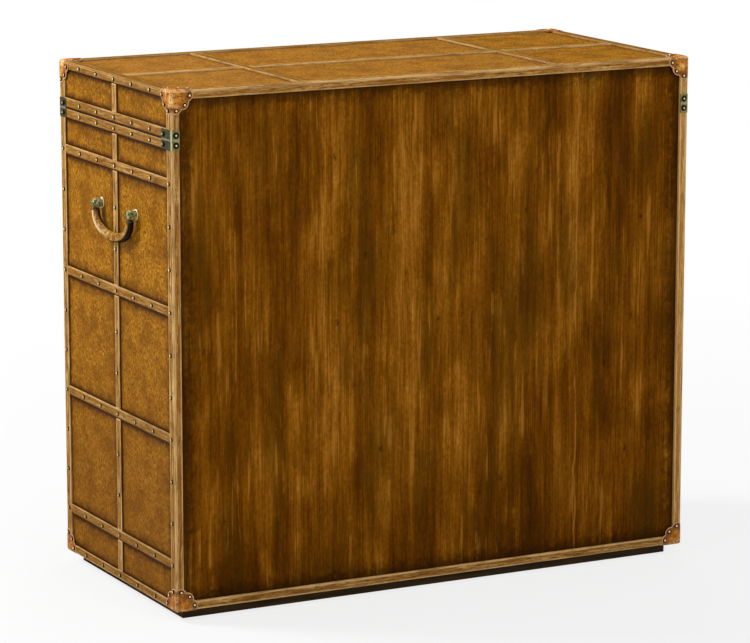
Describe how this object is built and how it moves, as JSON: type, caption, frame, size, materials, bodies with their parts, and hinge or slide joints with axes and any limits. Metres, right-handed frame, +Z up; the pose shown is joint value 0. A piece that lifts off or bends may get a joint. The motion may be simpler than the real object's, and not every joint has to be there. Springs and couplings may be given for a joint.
{
  "type": "campaign chest of drawers",
  "caption": "Leather-clad campaign chest with oak battens, leather corner caps, a false lid line, long drawers with bail pulls, side carrying handles and a recessed plinth.",
  "frame": {"origin": "centre of the whole outline, on the floor under the plinth", "axes": "+X to the right seen from the front, +Y towards the back, +Z up; the drawers open towards -Y"},
  "size_m": [0.984, 0.4696, 0.8615],
  "materials": {
    "leather_clad_board": "board covered in mottled golden-brown leather",
    "oak_batten": "aged oak, open grain, dark wax in the pores",
    "stained_back_board": "blotchy dark walnut stain, satin varnish",
    "dark_plinth": "dark stained wood",
    "carcass_wood": "plain inner boards",
    "drawer_wood": "plain sanded drawer wood",
    "cap_leather": "glossy orange-tan leather",
    "handle_leather": "worn leather sewn round a core",
    "aged_brass": "antique brass with a greenish dark patina"
  },
  "bodies": {
    "case": {"left_end_board": "leather_clad_board", "right_end_board": "leather_clad_board", "top_board": "leather_clad_board", "bottom_board": "carcass_wood", "dust_board_1": "carcass_wood", "dust_board_2": "carcass_wood", "dust_board_3": "carcass_wood", "dust_board_4": "carcass_wood", "lid_front_board": "leather_clad_board", "base_front_board": "leather_clad_board", "back_board": "stained_back_board", "plinth": "dark_plinth", "left_body_battens": "oak_batten", "left_lid_battens": "oak_batten", "right_body_battens": "oak_batten", "right_lid_battens": "oak_batten", "front_body_battens": "oak_batten", "front_lid_battens": "oak_batten", "top_battens": "oak_batten", "back_frame": "oak_batten", "corner_cap_top_front_left": "cap_leather", "corner_cap_top_front_right": "cap_leather", "corner_cap_top_rear_left": "cap_leather", "corner_cap_top_rear_right": "cap_leather", "corner_cap_bottom_front_left": "cap_leather", "corner_cap_bottom_front_right": "cap_leather", "corner_cap_bottom_rear_left": "cap_leather", "corner_cap_bottom_rear_right": "cap_leather", "corner_plates_front_left": "aged_brass", "corner_plates_front_right": "aged_brass", "corner_plates_rear_left": "aged_brass", "corner_plates_rear_right": "aged_brass", "left_handle_front_mount": "aged_brass", "left_handle_rear_mount": "aged_brass", "right_handle_front_mount": "aged_brass", "right_handle_rear_mount": "aged_brass"},
    "left_handle": {"left_handle_bail": "handle_leather"},
    "right_handle": {"right_handle_bail": "handle_leather"},
    "top_drawer": {"top_drawer_front": "leather_clad_board", "top_drawer_edging": "oak_batten", "top_drawer_box": "drawer_wood", "top_drawer_left_pull_mounts": "aged_brass", "top_drawer_right_pull_mounts": "aged_brass"},
    "top_drawer_left_pull": {"top_drawer_left_pull_bail": "handle_leather"},
    "top_drawer_right_pull": {"top_drawer_right_pull_bail": "handle_leather"},
    "middle_drawer": {"middle_drawer_front": "leather_clad_board", "middle_drawer_edging": "oak_batten", "middle_drawer_box": "drawer_wood", "middle_drawer_left_pull_mounts": "aged_brass", "middle_drawer_right_pull_mounts": "aged_brass"},
    "middle_drawer_left_pull": {"middle_drawer_left_pull_bail": "handle_leather"},
    "middle_drawer_right_pull": {"middle_drawer_right_pull_bail": "handle_leather"},
    "bottom_drawer": {"bottom_drawer_front": "leather_clad_board", "bottom_drawer_edging": "oak_batten", "bottom_drawer_box": "drawer_wood", "bottom_drawer_left_pull_mounts": "aged_brass", "bottom_drawer_right_pull_mounts": "aged_brass"},
    "bottom_drawer_left_pull": {"bottom_drawer_left_pull_bail": "handle_leather"},
    "bottom_drawer_right_pull": {"bottom_drawer_right_pull_bail": "handle_leather"}
  },
  "joints": [
    {"name": "top_drawer_slide", "type": "slide", "parent": "case", "child": "top_drawer", "axis": [0, -1, 0], "range_m": [0, 0.32]},
    {"name": "middle_drawer_slide", "type": "slide", "parent": "case", "child": "middle_drawer", "axis": [0, -1, 0], "range_m": [0, 0.32]},
    {"name": "bottom_drawer_slide", "type": "slide", "parent": "case", "child": "bottom_drawer", "axis": [0, -1, 0], "range_m": [0, 0.32]},
    {"name": "left_handle_swing", "type": "hinge", "parent": "case", "child": "left_handle", "pos_m": [-0.484, 0.01725, 0.64233], "axis": [0, 1, 0], "range_deg": [0, 90]},
    {"name": "right_handle_swing", "type": "hinge", "parent": "case", "child": "right_handle", "pos_m": [0.484, 0.01725, 0.64233], "axis": [0, -1, 0], "range_deg": [0, 90]},
    {"name": "top_drawer_left_pull_swing", "type": "hinge", "parent": "top_drawer", "child": "top_drawer_left_pull", "pos_m": [-0.2375, -0.22675, 0.64233], "axis": [-1, 0, 0], "range_deg": [0, 90]},
    {"name": "top_drawer_right_pull_swing", "type": "hinge", "parent": "top_drawer", "child": "top_drawer_right_pull", "pos_m": [0.2375, -0.22675, 0.64233], "axis": [-1, 0, 0], "range_deg": [0, 90]},
    {"name": "middle_drawer_left_pull_swing", "type": "hinge", "parent": "middle_drawer", "child": "middle_drawer_left_pull", "pos_m": [-0.2375, -0.22675, 0.43633], "axis": [-1, 0, 0], "range_deg": [0, 90]},
    {"name": "middle_drawer_right_pull_swing", "type": "hinge", "parent": "middle_drawer", "child": "middle_drawer_right_pull", "pos_m": [0.2375, -0.22675, 0.43633], "axis": [-1, 0, 0], "range_deg": [0, 90]},
    {"name": "bottom_drawer_left_pull_swing", "type": "hinge", "parent": "bottom_drawer", "child": "bottom_drawer_left_pull", "pos_m": [-0.2375, -0.22675, 0.23033], "axis": [-1, 0, 0], "range_deg": [0, 90]},
    {"name": "bottom_drawer_right_pull_swing", "type": "hinge", "parent": "bottom_drawer", "child": "bottom_drawer_right_pull", "pos_m": [0.2375, -0.22675, 0.23033], "axis": [-1, 0, 0], "range_deg": [0, 90]}
  ]
}
